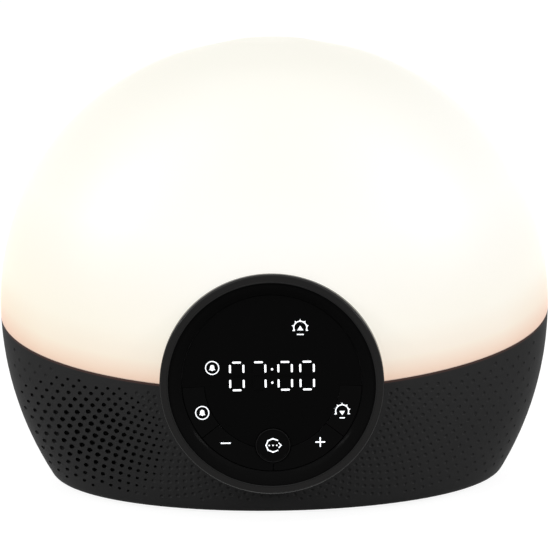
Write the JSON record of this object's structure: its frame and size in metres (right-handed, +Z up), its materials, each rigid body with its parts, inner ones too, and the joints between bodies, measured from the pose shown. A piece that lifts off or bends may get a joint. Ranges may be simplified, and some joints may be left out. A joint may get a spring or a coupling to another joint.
{
  "type": "sunrise alarm clock",
  "caption": "Bedside sunrise lamp and alarm clock: lit half-round dome on a dark base, with a round digital display and press keys.",
  "frame": {"origin": "middle of the bounding box at its base, on the plane that the feet stand on", "axes": "+Z up, the display faces -Y, +X to the right of someone who looks at the display"},
  "size_m": [0.216, 0.121, 0.176],
  "materials": {
    "dome_white": "translucent, lit from inside",
    "charcoal": "fine spark texture",
    "collar_black": "satin",
    "gloss_black": "high gloss",
    "key_black": "gloss with printed white signs",
    "inner_black": "moulded",
    "light_guide": "lit white light guide",
    "dark_guide": "unlit light guide",
    "module_grey": "moulded",
    "switch_metal": "pressed",
    "board_green": "solder mask",
    "board_white": "white solder mask",
    "tray_white": "white reflector",
    "chip_white": "phosphor",
    "chip_amber": "phosphor",
    "sink_aluminium": "extruded",
    "screw_steel": "zinc plated",
    "foot_rubber": "matt",
    "foam": "foam",
    "basket_steel": "black paint",
    "surround_rubber": "smooth",
    "cone_paper": "pressed fibre",
    "magnet_ferrite": "ground",
    "cloth_black": "open weave",
    "chip_black": "moulded",
    "can_aluminium": "drawn can",
    "inductor_ferrite": "pressed",
    "connector_white": "moulded",
    "jack_black": "moulded",
    "pin_brass": "turned",
    "lead_black": "PVC jacket",
    "ribbon_white": "flat flexible cable"
  },
  "bodies": {
    "housing": {"amber_light_chips": "chip_amber", "base_shell": "charcoal", "clamp_ring": "inner_black", "clamp_screws": "screw_steel", "dc_jack": "jack_black", "dc_jack_pin": "pin_brass", "diffuser_dome": "dome_white", "digit_module": "module_grey", "digit_segments_lit": "light_guide", "digit_segments_unlit": "dark_guide", "display_board": "board_green", "display_carrier": "inner_black", "display_collar": "collar_black", "display_ribbon": "ribbon_white", "display_window": "gloss_black", "dome_screws": "screw_steel", "fascia_ring": "gloss_black", "grille_cloth": "cloth_black", "heat_sink": "sink_aluminium", "indicator_light_pipes": "light_guide", "key_switches": "switch_metal", "lamp_lead": "lead_black", "light_board": "board_white", "light_board_screws": "screw_steel", "main_board": "board_green", "main_board_capacitors": "can_aluminium", "main_board_chips": "chip_black", "main_board_connectors": "connector_white", "main_board_inductor": "inductor_ferrite", "main_board_screws": "screw_steel", "rear_cover": "charcoal", "rear_cover_screws": "screw_steel", "reflector_tray": "tray_white", "rubber_feet": "foot_rubber", "speaker_basket": "basket_steel", "speaker_cone": "cone_paper", "speaker_dust_cap": "cone_paper", "speaker_gasket": "foam", "speaker_lead": "lead_black", "speaker_magnet": "magnet_ferrite", "speaker_screws": "screw_steel", "speaker_surround": "surround_rubber", "tray_screws": "screw_steel", "white_light_chips": "chip_white"},
    "alarm_key": {"alarm_key": "key_black"},
    "minus_key": {"minus_key": "key_black"},
    "options_button": {"options_button": "key_black"},
    "plus_key": {"plus_key": "key_black"},
    "light_key": {"light_key": "key_black"}
  },
  "joints": [
    {"name": "alarm_key_press", "type": "slide", "parent": "housing", "child": "alarm_key", "axis": [0, 0.9986, -0.0523], "range_m": [0, 0.0006], "stiffness_N_per_m": 1500},
    {"name": "minus_key_press", "type": "slide", "parent": "housing", "child": "minus_key", "axis": [0, 0.9986, -0.0523], "range_m": [0, 0.0006], "stiffness_N_per_m": 1500},
    {"name": "options_button_press", "type": "slide", "parent": "housing", "child": "options_button", "axis": [0, 0.9986, -0.0523], "range_m": [0, 0.0006], "stiffness_N_per_m": 1500},
    {"name": "plus_key_press", "type": "slide", "parent": "housing", "child": "plus_key", "axis": [0, 0.9986, -0.0523], "range_m": [0, 0.0006], "stiffness_N_per_m": 1500},
    {"name": "light_key_press", "type": "slide", "parent": "housing", "child": "light_key", "axis": [0, 0.9986, -0.0523], "range_m": [0, 0.0006], "stiffness_N_per_m": 1500}
  ]
}
